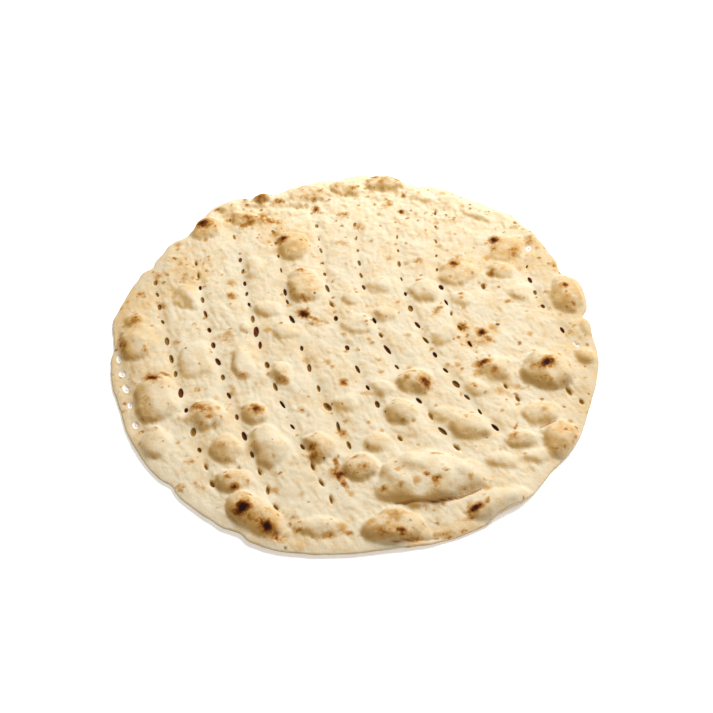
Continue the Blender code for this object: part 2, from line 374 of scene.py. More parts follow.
def clearPoints(points, line, gap, ovals, grow):
    # the points inside a closed line and outside the ovals
    points = points[awayFrom(line, *points.T) > gap]
    keep = np.ones(len(points), bool)
    for oval in ovals:
        keep &= ovalShare(oval, *points.T, grow) > 1
    return points[keep]


def triangulate(line, rings, loose):
    # triangles over a sheet with the rings left open; the points keep their order
    points = np.concatenate([line, *rings, loose])
    owner = np.full(len(points), -1)
    edges = []
    start = 0
    for number, ring in enumerate([line, *rings]):
        steps = np.arange(len(ring))
        edges += np.column_stack((start + steps, start + (steps + 1) % len(ring))).tolist()
        owner[start:start + len(ring)] = number
        start += len(ring)
    found = delaunay_2d_cdt([Vector(point) for point in points], edges, [], 1, 1e-7)  # 1: only inside
    source = np.array([numbers[0] for numbers in found[3]])
    triangles = source[np.array(found[2])]
    holders = owner[triangles]
    inHole = (holders[:, 0] > 0) & (holders[:, 0] == holders[:, 1]) & (holders[:, 1] == holders[:, 2])
    return points, triangles[~inHole]


class Smoother:
    # spreads values over neighbouring points

    def __init__(self, triangles, count):
        pairs = np.sort(np.concatenate([triangles[:, [0, 1]], triangles[:, [1, 2]], triangles[:, [2, 0]]]))
        self.pairs = np.unique(pairs, axis=0)
        self.count = count
        self.neighbours = np.bincount(self.pairs.ravel(), minlength=count)

    def spread(self, values, rounds):
        first, second = self.pairs.T
        for _ in range(rounds):
            total = np.bincount(first, values[second], self.count)
            total += np.bincount(second, values[first], self.count)
            values = 0.5 * values + 0.5 * total / self.neighbours
        return values


def rimReach(line):
    # how far a closed line lies from the middle, by direction
    angle = np.arctan2(line[:, 1], line[:, 0])
    order = np.argsort(angle)
    return angle[order], np.hypot(*line.T)[order]


def awayFrom(line, x, y):
    # how far inside a closed line each place lies
    return np.interp(np.arctan2(y, x), *rimReach(line), period=2 * np.pi) - np.hypot(x, y)


def raggedRim(line):
    # the outline, pushed in and out by chance, more so behind
    wobble = rng.normal(size=len(line))
    for _ in range(sheet["rimSmoothing"]):
        wobble = (np.roll(wobble, 1) + wobble + np.roll(wobble, -1)) / 3
    past = line[:, 1] - sheet["calmLean"] * line[:, 0] + sheet["calmFrom"]
    ragged = sheet["rimCalm"] + (1 - sheet["rimCalm"]) * easedShare(past / sheet["calmReach"])
    return inwards(line, (wobble * ragged * sheet["rimJitter"])[:, None])


rng = np.random.default_rng(sheet["seed"])
noise.seed_set(sheet["seed"])
packedRim = closedCurve(outlinePoints, sheet["rimPoints"])
rimLine = raggedRim(packedRim)
skinLine = inwards(rimLine, sheet["rimInset"])
mouths = [variedPin(pin[0]) for pin in pins]
feet = [pin[1] for pin in pins]
dents = [variedPin(dentOval(place)) for place in dentPlaces]

mouthRings = [ovalRing(oval, 0, sheet["pinSides"]) for oval in mouths]
lipRings = [ovalRing(oval, sheet["pinLip"], sheet["pinSides"]) for oval in mouths]
dentRings = []
for x, y, length, width, *turn in dents:
    for scale in sheet["dentScales"]:
        dentRings.append(ovalRing((x, y, length * scale, width * scale, *turn), 0, sheet["pinSides"]))
fromEdge, fromPins = (share * sheet["skinGap"] for share in sheet["skinClear"])
skinGrid = clearPoints(triangularGrid(sheet["skinGap"]), skinLine, fromEdge,
                       mouths + dents, sheet["pinLip"] + fromPins)
skinPoints, skinFaces = triangulate(skinLine, mouthRings, np.concatenate(lipRings + dentRings + [skinGrid]))

footRings = [ovalRing(oval, 0, sheet["pinSides"]) for oval in feet]
fromEdge, fromPins = (share * sheet["baseGap"] for share in sheet["baseClear"])
baseGrid = clearPoints(triangularGrid(sheet["baseGap"]), skinLine, fromEdge, feet, fromPins)
basePoints, baseFaces = triangulate(skinLine, footRings, baseGrid)
print("sheet of", len(skinFaces), "triangles above and", len(baseFaces), "below")

# How pins, dents and the edge shape the skin.
relief = {
    "pinPinch": 0.8 * mm,     # how far a pin pulls the skin down round its mouth
    "pinchReach": 3.0 * mm,
    "dentDepth": 2.0 * mm,
    "dentEdge": 1.25,         # a dent reaches to this many times its oval
    "edgeReach": 9 * mm,      # the sheet rounds off this near its edge,
    "edgeThickness": 0.4,     # to this share of its thickness
}

# Blisters, in millimetres from the sheet's middle: x and y, half length, half
# width, turn in degrees, height. Last, how browned their tops are.
blisters = (
    # behind, on the left
    (-137, 127, 16, 15, 0, 6.5, 1.0), (-118, 156, 10, 8, 0, 4.0, 0.6), (-88, 170, 11, 9, 0, 6.5, 0.9),
    (-57, 105, 18, 18, 0, 6.0, 0.9), (-44, 56, 22, 16, 108, 5.5, 0.8), (-92, 78, 14, 11, 90, 3.0, 0.4),
    (-143, 42, 17, 13, 120, 4.5, 0.2), (-184, 14, 10, 8, 0, 3.5, 0.7), (-104, 142, 24, 8, -12, 3.5, 0.9),
    # left
    (-179, -9, 19, 18, 100, 7.0, 0.5), (-154, -67, 24, 19, 90, 8.0, 0.5), (-150, -107, 14, 13, 90, 5.0, 0.6),
    (-129, -27, 20, 16, 90, 4.0, 0.1), (-91, -30, 16, 10, 100, 4.2, 0.1), (-88, 9, 9, 7, 0, 3.0, 0.2),
    (-60, -41, 13, 10, 130, 4.5, 0.6), (-115, -82, 16, 15, 0, 5.5, 0.5), (-78, -81, 11, 10, 0, 5.0, 0.6),
    (-74, 29, 13, 10, 0, 3.5, 0.3), (-57, 5, 13, 11, 0, 3.5, 0.4), (-96, -113, 13, 13, 90, 5.5, 0.8),
    # front, on the left
    (-65, -110, 20, 16, 120, 7.5, 0.4), (-28, -112, 15, 13, 0, 6.0, 0.8), (-88, -141, 14, 12, 0, 5.5, 0.9),
    (-71, -168, 25, 14, -35, 8.0, 0.8), (-25, -178, 19, 9, 0, 4.0, 0.3), (5, -129, 14, 12, 0, 6.0, 0.8),
    (17, -107, 11, 10, 0, 4.0, 0.8),
    # front, on the right
    (50, -138, 34, 25, 8, 11.0, 0.1), (29, -147, 15, 12, 10, 5.0, 0.1), (78, -136, 21, 13, 14, 6.0, 0.2),
    (27, -178, 23, 14, 6, 9.0, 0.8), (104, -160, 27, 13, 12, 7.0, 0.2),
    (89, -93, 18, 13, 0, 6.5, 0.6), (70, -81, 10, 8, 0, 3.0, 0.4), (36, -79, 14, 12, 0, 6.0, 0.6),
    (48, -49, 15, 13, 0, 7.0, 0.7), (108, -123, 14, 8, 0, 3.0, 0.4), (136, -118, 15, 6, 15, 3.0, 0.4),
    # right
    (112, -36, 14, 14, 0, 6.5, 0.6), (154, -38, 22, 20, 0, 10.5, 0.6), (187, -21, 10, 9, 0, 4.5, 0.8),
    (182, 46, 23, 15, 85, 8.0, 0.8), (143, -80, 17, 12, 10, 5.0, 0.7), (156, -104, 18, 15, 60, 8.0, 1.0),
    (125, -104, 12, 9, 0, 4.5, 0.7), (193, 12, 12, 6, 90, 3.0, 0.5),
    # middle
    (61, 50, 15, 14, 0, 5.0, 0.5), (88, 72, 20, 15, 10, 4.5, 0.6), (92, 42, 12, 8, 0, 2.5, 0.8),
    (73, -1, 14, 9, 50, 4.0, 0.3), (21, 55, 11, 10, 0, 3.0, 0.3), (-3, 41, 9, 8, 0, 3.0, 0.2),
    (23, 23, 13, 10, 0, 3.0, 0.7), (4, 13, 17, 11, -15, 3.0, 0.3), (-8, -71, 12, 9, 0, 3.0, 0.3),
    (95, -56, 11, 9, 0, 3.0, 0.6), (20, -56, 12, 8, 0, 3.0, 0.5), (145, 49, 14, 10, 0, 3.0, 0.5),
    # behind, on the right and along the far rim
    (128, 74, 14, 11, 0, 4.0, 0.8), (138, 102, 22, 14, 40, 3.5, 0.9), (28, 190, 20, 12, 0, 5.0, 1.0),
    (-8, 184, 17, 11, 0, 4.0, 0.6), (-44, 176, 20, 11, 15, 4.0, 0.7), (64, 172, 14, 9, 0, 2.5, 0.4),
    (112, 150, 18, 9, -35, 2.5, 0.3),
)

sheetMiddle = (1.9 * mm, -3.0 * mm)  # seen from the middle of the bread's box

blisterSkin = {
    "packedPower": 2.4,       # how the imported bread's blisters fall off
    "power": 2.3,             # and how these fall off: rounder,
    "reach": 0.95,            # a little narrower,
    "steepness": 0.6,         # steeper at the foot
    "browningLift": 3.0 * mm,
    "pinHold": 3.5 * mm,      # a pin holds the skin down this far round it,
    "pinHoldShare": 0.75,     # by this share of its lift
    "wander": 2.7 * mm,       # how far their outlines stray from ovals
    "wanderSize": 13 * mm,
    "uneven": 0.24,           # how unevenly they are blown up
    "unevenSize": 12 * mm,
    "layers": (0.5, 3.5),     # layers of noise for the outlines and the unevenness
    "smoothing": 2,           # rounds for the lift,
    "browningSmoothing": 5,   # and for the browning
}

# Folds in the skin, in millimetres from the middle: start x and y, end x and y,
# how far the line bows to its right, half width, depth. Last, how dark the crease is coloured: partly
# browning, partly painted shade in the crease.
folds = (
    (18, -157, 104, -139, 10.0, 1.6, 1.8, 1.0),
    (16, -192, 84, -184, -0.5, 1.3, 1.3, 0.9),
    (137, -96, 157, -86, 0.0, 1.2, 0.9, 1.0),
    (-161, 53, -141, 26, -2.0, 4.0, 1.3, 0.0),
    (-198, 8, -184, -20, 3.0, 3.0, 1.5, 0.35),
    (-110, 153, -40, 155, -3.0, 2.5, 0.8, 0.3),
)


def foldDistance(fold, x, y):
    # how far each place lies from a fold's bowed line, and how far along it
    startX, startY, endX, endY, bow = (value * mm for value in fold[:5])
    length = math.hypot(endX - startX, endY - startY)
    alongX, alongY = (endX - startX) / length, (endY - startY) / length
    awayX, awayY = x - startX, y - startY
    along = (awayX * alongX + awayY * alongY) / length
    across = awayX * alongY - awayY * alongX
    return across - bow * 4 * along * (1 - along), along


def foldShare(fold, x, y):
    # 1 on a fold, fading to its sides and towards its ends
    across, along = foldDistance(fold, x - sheetMiddle[0], y - sheetMiddle[1])
    ends = np.clip(np.minimum(along, 1 - along) * 6, 0, 1)  # they fade over a sixth of its length
    return np.exp(-((across / (fold[5] * mm)) ** 2)) * ends * (along > 0) * (along < 1)


def ovalOnSheet(x, y, length, width, turn):
    # an oval given in millimetres from the sheet's middle
    angle = math.radians(turn)
    middleX, middleY = x * mm + sheetMiddle[0], y * mm + sheetMiddle[1]
    return middleX, middleY, length * mm, width * mm, math.cos(angle), math.sin(angle)


def puffs(x, y, power, steepness, reach=1.0):
    # how far the blisters lift the skin and how browned it is there; where two meet, they blend
    total, toast = np.zeros(len(x)), np.zeros(len(x))
    for *place, height, browned in blisters:
        share = np.minimum(ovalShare(ovalOnSheet(*place), x, y) / reach, 1)
        lift = height * mm * (1 - share**power) ** steepness
        total += lift**2
        toast = np.maximum(toast, browned * np.minimum(lift / blisterSkin["browningLift"], 1))
    return np.sqrt(total), toast


def strayed(x, y, reach, size):
    # the places shifted about by a smooth noise
    layer = blisterSkin["layers"][0]
    shifts = [noise.noise_vector((a / size, b / size, layer)) for a, b in zip(x.tolist(), y.tolist())]
    shifts = np.array(shifts) * reach
    return x + shifts[:, 0], y + shifts[:, 1]


def plainHeights(x, y):
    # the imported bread's skin without its blisters; close to the edge, what lies further in
    tooFar = np.minimum(awayFrom(packedRim, x, y) - sheet["rimHold"], 0)
    held = 1 + tooFar / np.maximum(np.hypot(x, y), mm)
    return skinHeight(x * held, y * held) - puffs(x, y, blisterSkin["packedPower"], 1.0)[0]


def blownUp(points, pinAway):
    # how far the blisters lift the skin here, less near a pin, and how browned they are
    wandered = strayed(*points.T, blisterSkin["wander"], blisterSkin["wanderSize"])
    lift, toast = puffs(*wandered, blisterSkin["power"], blisterSkin["steepness"], blisterSkin["reach"])
    lift *= 1 - blisterSkin["pinHoldShare"] * np.exp(-((pinAway / blisterSkin["pinHold"]) ** 2))
    layer = blisterSkin["layers"][1]
    bumps = [noise.noise((a, b, layer)) for a, b in (points / blisterSkin["unevenSize"]).tolist()]
    lift *= 1 + blisterSkin["uneven"] * np.array(bumps)
    return lift, toast


def roundEdge(x, y, z, edgeAway):
    # the skin drops to the underside near the edge
    near = np.flatnonzero(edgeAway < relief["edgeReach"])
    share = np.clip(edgeAway[near] / relief["edgeReach"], 0, 1)
    rounding = np.sqrt(1 - (1 - share) ** 2)
    rounding = relief["edgeThickness"] + (1 - relief["edgeThickness"]) * rounding
    under = baseHeight(x[near], y[near])
    z[near] = under + (z[near] - under) * rounding


skinX, skinY = skinPoints.T
baseX, baseY = basePoints.T
baseZ = baseHeight(baseX, baseY)
smoother = Smoother(skinFaces, len(skinPoints))
pinAway = np.full(len(skinX), 1.0)
for oval in mouths:
    pinAway = np.minimum(pinAway, np.maximum(ovalShare(oval, skinX, skinY) - 1, 0) * oval[3])
pinShare = pinAway / relief["pinchReach"]
dentShare = np.zeros(len(skinX))
for oval in dents:
    dentShare = np.maximum(dentShare, easedShare(relief["dentEdge"] - ovalShare(oval, skinX, skinY)))
edgeAway = awayFrom(rimLine, skinX, skinY)

plain = plainHeights(skinX, skinY)
lift, toast = blownUp(skinPoints, pinAway)
toasted = smoother.spread(toast, blisterSkin["browningSmoothing"])
skinZ = smoother.spread(plain, sheet["facetSmoothing"]) + smoother.spread(lift, blisterSkin["smoothing"])
skinZ -= relief["pinPinch"] * np.exp(-pinShare**2)
skinZ -= relief["dentDepth"] * dentShare
foldBrownAndShade = np.zeros(len(skinX))
for fold in folds:
    depth, browned = fold[6:]
    creased = foldShare(fold, skinX, skinY)
    skinZ -= creased * depth * mm
    # the crease's colour: partly browned dough, partly painted shade in the fold
    foldBrownAndShade = np.maximum(foldBrownAndShade, creased**2 * browned)
roundEdge(skinX, skinY, skinZ, edgeAway)
print("skin from", round(skinZ.min() / mm, 1), "to", round(skinZ.max() / mm, 1), "mm high")

# How deep in a hole each point counts as being, for its colour: deeper points take the dark wall colour,
# partly browned dough and partly painted shade.
hollows = {"dent": 1.3, "mouth": 0.5, "wall": 1.1}


def ringBands(first, second, count):
    # squares between two rings that start at these numbers
    steps = np.arange(count)
    after = (steps + 1) % count
    return np.column_stack((first + steps, first + after, second + after, second + steps))


def buildBread():
    # one closed mesh: the skin, the underside, the rim's rings and the pins' walls
    parts = [np.column_stack((skinX, skinY, skinZ)), np.column_stack((baseX, baseY, baseZ))]
    baseStart = len(skinX)
    count = baseStart + len(baseX)
    quads, upper = [], []
    rim = sheet["rimPoints"]
    rimTop, rimBottom = skinZ[:rim], baseZ[:rim]
    halfway, half = (rimTop + rimBottom) / 2, (rimTop - rimBottom) / 2
    ringStart = 0
    for ring in range(1, sheet["rimRings"] + 1):
        angle = math.pi * ring / (sheet["rimRings"] + 1)
        line = inwards(rimLine, sheet["rimInset"] * (1 - math.sin(angle)))
        parts.append(np.column_stack((line, halfway + half * math.cos(angle))))
        quads.append(ringBands(ringStart, count, rim))
        upper.append(np.full(rim, ring <= (sheet["rimRings"] + 1) // 2))
        ringStart = count
        count += rim
    quads.append(ringBands(ringStart, baseStart, rim))
    upper.append(np.zeros(rim, bool))
    sides = sheet["pinSides"]
    skinHollow = dentShare * hollows["dent"]
    skinHollow[rim:rim + len(pins) * sides] = hollows["mouth"]
    hollow = [skinHollow, np.zeros(len(baseX)), np.zeros(rim * sheet["rimRings"])]
    for number, mouthRing in enumerate(mouthRings):
        start = rim + number * sides
        footStart = baseStart + start
        top, bottom = skinZ[start:start + sides], baseZ[start:start + sides]
        middle = np.array(mouths[number][:2])
        shallow = easedShare((middle[1] - sheet["shallowFrom"]) / sheet["shallowReach"])
        for fall, narrow in sheet["pinLevels"]:
            ring = middle + (mouthRing - middle) * narrow
            depth = fall * (1 - sheet["shallowShare"] * shallow)
            parts.append(np.column_stack((ring, top + (bottom - top) * depth)))
            hollow.append(np.full(sides, hollows["wall"]))
            quads.append(ringBands(start, count, sides))
            upper.append(np.ones(sides, bool))
            start = count
            count += sides
        quads.append(ringBands(start, footStart, sides))
        upper.append(np.ones(sides, bool))
    return np.concatenate(parts), np.concatenate(quads), np.concatenate(upper), np.concatenate(hollow)


vertices, quads, quadIsUpper, hollow = buildBread()
baseTurned = len(skinX) + baseFaces[:, ::-1]
triangles = np.concatenate([skinFaces, baseTurned])
isUpper = np.concatenate([np.ones(len(skinFaces), bool), np.zeros(len(baseFaces), bool), quadIsUpper])
breadMesh = bpy.data.meshes.new("bread")
breadMesh.from_pydata(vertices.tolist(), [], triangles.tolist() + quads.tolist())
breadMesh.shade_smooth()
bread = bpy.data.objects.new("bread", breadMesh)
bpy.context.scene.collection.objects.link(bread)

# Where the bread's two sides lie on the flat map for baking.
mapLayout = {
    "upperMiddle": (0.398, 0.602),   # the upper skin's disc on the unit square
    "upperReach": 0.388,
    "lowerMiddle": (0.812, 0.188),   # and the underside's, seen from below
    "lowerReach": 0.182,
}


def layMap(mesh):
    # the skin and the underside, each as a disc seen from outside
    corner = np.empty(len(mesh.loops), int)
    mesh.loops.foreach_get("vertex_index", corner)
    counts = np.empty(len(mesh.polygons), int)
    mesh.polygons.foreach_get("loop_total", counts)
    onTop = np.repeat(isUpper, counts)[:, None]
    places = vertices[corner, :2] / max(cadHigh.x, cadHigh.y)
    above = places * mapLayout["upperReach"] + mapLayout["upperMiddle"]
    below = places * (-1, 1) * mapLayout["lowerReach"] + mapLayout["lowerMiddle"]
    layer = mesh.uv_layers.new(name="OFBake")
    layer.uv.foreach_set("vector", np.where(onTop, above, below).ravel())


layMap(breadMesh)

# Marks in millimetres from the middle: x, y, half length, half width, turn in
# degrees, and how dark: 1 is charred, 0.6 brown, 0.35 golden.
marks = (
    # charred
    (-79, -161, 6, 5.5, 20, 1.0), (-61, -175, 7, 4, -35, 0.92), (-160, -46, 7, 4.6, -30, 0.95),
    (152, -30, 7.5, 5, 25, 0.9), (86, -161, 6.5, 2.8, 25, 0.92), (105, 3, 4, 4, 0, 0.92),
    (-43, 23, 6, 4.5, -30, 0.88), (-65, 114, 5, 5, 0, 0.8), (87, 83, 6.5, 4.5, 75, 0.88),
    (126, 112, 4.5, 4.5, 0, 0.88), (19, 200, 3.5, 3.5, 0, 0.8), (103, -29, 7, 4.5, 25, 0.76),
    (55, -47, 6, 6, 0, 0.7), (-75, -76, 5.5, 4.5, -25, 0.78), (-139, 134, 8, 6.5, -10, 0.86),
    (33, -178, 4, 3, 0, 0.84), (179, 55, 3.2, 3.2, 0, 0.78), (43, 152, 3, 3.6, 0, 0.86),
    (-12, -135, 6, 4, -30, 0.8), (-14, -126, 6, 2, 105, 0.6), (-8, -143, 6, 2.4, -65, 0.6),
    # streaks beside them
    (-34, 18, 11, 2.6, -22, 0.56), (-35, 12, 9, 2.2, -8, 0.42), (110, -4, 6, 2.4, -40, 0.56),
    (103, -8, 6, 3, 10, 0.45), (124, 104, 6.5, 3, 80, 0.5), (-152, -42, 5, 2, -20, 0.5),
    (94, -156, 3.5, 1.6, 60, 0.6), (82, -170, 6, 1.8, 10, 0.4), (-70, -168, 9, 5, -30, 0.45),
    # brown and golden
    (-118, -75, 12, 5, -28, 0.55), (-112, -82, 6, 3, -30, 0.45), (-31, -110, 3.5, 3, 0, 0.66),
    (-30, -117, 4.5, 3, 30, 0.62), (-87, -144, 4, 3, 0, 0.6), (-92, -137, 3, 2, 0, 0.55),
    (-9, -50, 4, 3.6, 0, 0.62), (-10, -98, 4.5, 3.4, -45, 0.62), (119, -101, 5, 3.6, 40, 0.5),
    (122, -94, 4.5, 1.3, 65, 0.5), (-106, 44, 4.5, 3.8, 0, 0.58), (130, -54, 6.5, 3, -15, 0.36),
    (70, 28, 8, 2.6, 50, 0.46), (129, 38, 6.5, 2.6, 0, 0.42), (56, 87, 4.5, 4, 0, 0.46),
    (119, 72, 4, 4.5, 0, 0.52), (142, 98, 9, 4.5, 65, 0.44), (146, 130, 6, 3, 15, 0.4),
    (158, 113, 8, 5, 60, 0.44), (176, 82, 5, 4, 80, 0.46), (58, -137, 3.6, 3, 0, 0.64),
    (52, -133, 3, 2.2, 0, 0.48), (21, -145, 3.4, 2.6, 0, 0.6), (33, -141, 3, 2, 0, 0.46),
    (60, -117, 6, 2, 15, 0.46), (66, -131, 3, 2, 0, 0.44), (-55, -185, 9, 5, 0, 0.44),
    (-18, -183, 7, 2.2, 5, 0.48), (-4, -183, 3.5, 2, 0, 0.44), (-127, -145, 4, 2.4, 0, 0.46),
    (-112, -146, 4, 2.4, 0, 0.42), (-122, -124, 3.5, 2.4, 0, 0.5), (-99, -109, 3.6, 2.4, 0, 0.5),
    (-184, 46, 4, 3.4, 0, 0.56),
    (-170, 70, 7, 3, 10, 0.46), (-149, 66, 3, 6, 0, 0.42), (-165, 34, 7, 2.6, -40, 0.44),
    (-88, -44, 5, 4, 0, 0.44), (-57, -45, 6, 3, -40, 0.5), (-107, -3, 11, 6, 10, 0.32),
    (-103, 132, 4, 3.4, 0, 0.62), (-74, 122, 4.5, 4, 0, 0.5), (41, -45, 3.6, 4, 0, 0.42),
    (111, -37, 4, 4, 0, 0.46), (141, -34, 4, 3.4, 0, 0.46), (150, -44, 3, 2.6, 0, 0.52),
    (180, 43, 3, 3.4, 0, 0.46), (184, 36, 3, 3, 0, 0.5), (56, 63, 4.5, 2, 0, 0.5),
    (91, 47, 3, 2.2, 0, 0.56), (112, 57, 2.8, 2.4, 0, 0.5), (20, -39, 3, 2.4, 0, 0.42),
    (19, -26, 2.8, 2.4, 0, 0.42), (8, -61, 7, 3, -10, 0.38), (-48, 74, 5, 3.4, 0, 0.52),
    (-44, 42, 7, 3, -20, 0.40), (-185, 15, 6, 7, 0, 0.46), (-184, 18, 2.4, 2.4, 0, 0.6),
    (-170, -17, 2.6, 2.6, 0, 0.5), (-147, -8, 3.4, 3, 0, 0.46), (-124, -57, 3, 2.4, 0, 0.5),
    (-98, -72, 2.4, 2, 0, 0.5), (-97, -60, 4, 2, 60, 0.5), (85, -83, 2.4, 2.4, 0, 0.4),
    (0, -120, 3.6, 2.4, 0, 0.5), (5, -128, 5, 4, 0, 0.46), (22, -178, 8, 4.5, 0, 0.46),
    (28, -168, 9, 5, 0, 0.34), (40, -184, 9, 1.6, 8, 0.5), (-190, -8, 4, 14, 25, 0.42),
    (-118, 141, 3.2, 3, 0, 0.5), (-89, 171, 6, 4.5, 0, 0.74), (160, -18, 4.5, 1.8, 5, 0.56),
    (4, 130, 6, 8, 0, 0.34), (-13, 109, 7, 5, 0, 0.3), (24, 193, 3, 3, 0, 0.5),
    (40, 196, 3, 3, 0, 0.5), (46, 174, 2.6, 3, 0, 0.6), (33, 163, 3, 4, 0, 0.5),
    (-2, 183, 3, 3, 0, 0.5), (-18, 185, 2.6, 3.4, 0, 0.5), (-34, 180, 3.4, 3, 0, 0.54),
    (-46, 173, 5, 3.6, 0, 0.48), (-39, 169, 2.6, 3, 0, 0.52), (-46, 160, 2.4, 3, 0, 0.52),
    (-10, 148, 3.6, 3.4, 0, 0.56), (-54, 187, 4, 2.6, 0, 0.42), (-72, 165, 4, 3.2, 0, 0.56),
    (-101, 159, 3, 2, 0, 0.46), (-129, 152, 3.4, 2.4, 0, 0.42), (-37, 156, 3.6, 4.2, 0, 0.74),
    (90, 9, 5, 4.4, -50, 0.66), (94, -8, 2.6, 6, 20, 0.46), (75, 107, 3, 2.4, 0, 0.4),
    (62, -183, 9, 2, 8, 0.44), (77, -181, 5, 2, 15, 0.42), (-88, 142, 26, 4.5, -4, 0.5),
    (-96, 138, 5, 3, 0, 0.6), (-86, 146, 4, 3, 0, 0.6),
)

# Where and how strongly the bread is browned, paler behind and darker at its left and right ends.
region = {
    "farStart": 95 * mm,      # the sheet is paler, yellower and lumpier beyond this y,
    "farReach": 75 * mm,      # fully so this much further on,
    "farGolden": 0.1,         # and this golden there
    "sideStart": 140 * mm,    # darker beyond this far to the left or right,
    "sideReach": 50 * mm,
    "sideGolden": 0.4,
    "calmLift": 4 * mm,       # skin blown up this far has no wrinkles
    "markFall": 0.72,         # a mark on a blister sits lower by this share of the lift
    "markFade": 0.75,         # how fast a mark fades outwards
    "patchGolden": 0.75,      # how golden the patches are,
    "patchLess": 0.3,         # less so by this on the far side,
    "patchEdge": 1.6,         # and gone at this many times their ovals
    "patchStray": 8 * mm,     # how far their outlines stray from ovals
    "patchStraySize": 20 * mm,
    "gripReach": 8 * mm,      # the relief dies away this near the edge
    "gripPins": 2,            # and the faster round the pins
    "mostBrowned": 1.4,       # where blisters crowd together
}


def markField(x, y):
    # how dark the marks make each place
    field = np.zeros(len(x))
    for markX, markY, *shape, dark in marks:
        spot = np.array(((markX,), (markY,))) * mm + np.array(sheetMiddle)[:, None]
        fall = puffs(*spot, blisterSkin["power"], blisterSkin["steepness"])[0][0] * region["markFall"] / mm
        share = ovalShare(ovalOnSheet(markX, markY - fall, *shape), x, y)
        field = np.maximum(field, dark * np.exp(-region["markFade"] * share**2))
    return field


# Broad golden patches, in millimetres from the middle: x, y, half length, half width, turn.
goldenPatches = (
    (150, 100, 34, 22, 45), (172, 84, 16, 12, 70), (-150, 66, 32, 20, 60), (-100, 142, 50, 12, -8),
    (-62, 112, 22, 18, 0), (-30, 180, 40, 8, -5), (98, 76, 24, 14, 10), (-57, -178, 26, 10, -25),
    (-15, -72, 12, 8, 0), (100, -2, 18, 12, 30), (-186, 20, 14, 36, 0), (60, -183, 42, 7, 9),
)

# The way the dough was stretched, which its wrinkles follow.
flow = {
    "bendY": 75 * mm,     # nearer than this the lines lean to the right,
    "lean": 0.214,        # by this much,
    "bend": 0.7,          # and more so the nearer they come
    "turnAt": 60 * mm,    # right of this the wrinkles change,
    "turnOver": 70 * mm,  # over this width
}


def stretchPlaces(x, y):
    # places across and along the stretch, and how much the wrinkles have changed
    below = np.maximum(flow["bendY"] - y, 0)
    across = x - flow["lean"] * below - flow["bend"] * below**2
    return np.column_stack((across, y, easedShare((x - flow["turnAt"]) / flow["turnOver"])))


def addNumbers(name, values):
    # one number for each point of the bread, for its crust and its relief
    data = breadMesh.attributes.new(name, "FLOAT", "POINT").data
    data.foreach_set("value", values.astype(np.float32))


def addSkinNumbers(name, values):
    # the same for the upper skin's points, with 0 elsewhere
    addNumbers(name, np.concatenate((values, np.zeros(len(vertices) - len(skinX)))))


def skinShares():
    # 1 on the skin and in the pins, fading round the rim to 0 on the underside
    shares = np.ones(len(vertices))
    shares[len(skinX):rimStart] = 0
    rings = sheet["rimRings"]
    fading = [1 - (ring + 1) / (rings + 1) for ring in range(rings)]
    shares[rimStart:wallStart] = np.repeat(fading, sheet["rimPoints"])
    return shares


def goldenField(x, y, far, side):
    # how golden the sheet is, apart from its blisters and marks
    golden = np.maximum(far * region["farGolden"], side * region["sideGolden"])
    stray = strayed(x, y, region["patchStray"], region["patchStraySize"])
    strength = region["patchGolden"] - region["patchLess"] * far
    for patch in goldenPatches:
        share = ovalShare(ovalOnSheet(*patch), *stray)
        golden = np.maximum(golden, easedShare(region["patchEdge"] - share) * strength)
    return golden


pinLook = {
    "farLighter": 0.7,   # how much lighter the shallow pins are
    # pins near the rim get painted light: pale, as if the backdrop showed through
    "rimSeeThrough": 2,
    "dentShade": 0.85,
}


def pinShades():
    # how light each pin and dent is inside: 0 dark, 1 light, 2 pale; the dark walls are partly browned dough
    # and partly painted shade, and 2 is painted light, as if the backdrop showed through
    x, y = np.array([mouth[:2] for mouth in mouths]).T
    shades = rng.uniform(0, 1, len(mouths))
    lighter = easedShare((y - sheet["shallowFrom"]) / sheet["shallowReach"])
    shades += (1 - shades) * pinLook["farLighter"] * lighter
    shades[awayFrom(packedRim, x, y) < sheet["rimPinReach"]] = pinLook["rimSeeThrough"]
    sides = sheet["pinSides"]
    values = np.zeros(len(vertices))
    values[wallStart:] = np.repeat(shades, len(sheet["pinLevels"]) * sides)
    values[sheet["rimPoints"]:sheet["rimPoints"] + len(mouths) * sides] = np.repeat(shades, sides)
    values[:len(skinX)] = np.where(dentShare > 0, pinLook["dentShade"], values[:len(skinX)])
    return values


rimStart = len(skinX) + len(baseX)
wallStart = rimStart + sheet["rimPoints"] * sheet["rimRings"]
breadX, breadY = vertices[:, :2].T
farShare = easedShare((breadY - region["farStart"]) / region["farReach"])
sideShare = easedShare((np.abs(breadX) - region["sideStart"]) / region["sideReach"])
edgeGrip = np.clip((edgeAway - sheet["rimInset"]) / region["gripReach"], 0, 1)
addNumbers("hollow", hollow)
addNumbers("above", skinShares())
addSkinNumbers("grip", (1 - np.exp(-pinShare**2 * region["gripPins"])) * edgeGrip)
addNumbers("far", farShare)
addNumbers("ends", sideShare)
addNumbers("golden", goldenField(breadX, breadY, farShare, sideShare))
addSkinNumbers("browned", np.clip(toasted, 0, region["mostBrowned"]))
addSkinNumbers("calm", np.clip(lift / region["calmLift"], 0, 1))
addSkinNumbers("scorch", markField(skinX, skinY))
addSkinNumbers("fold", foldBrownAndShade)
addNumbers("pinTone", pinShades())
stretch = stretchPlaces(breadX, breadY).astype(np.float32)
breadMesh.attributes.new("stretch", "FLOAT_VECTOR", "POINT").data.foreach_set("vector", stretch.ravel())
print("bread of", sum(len(face.vertices) - 2 for face in breadMesh.polygons), "triangles")

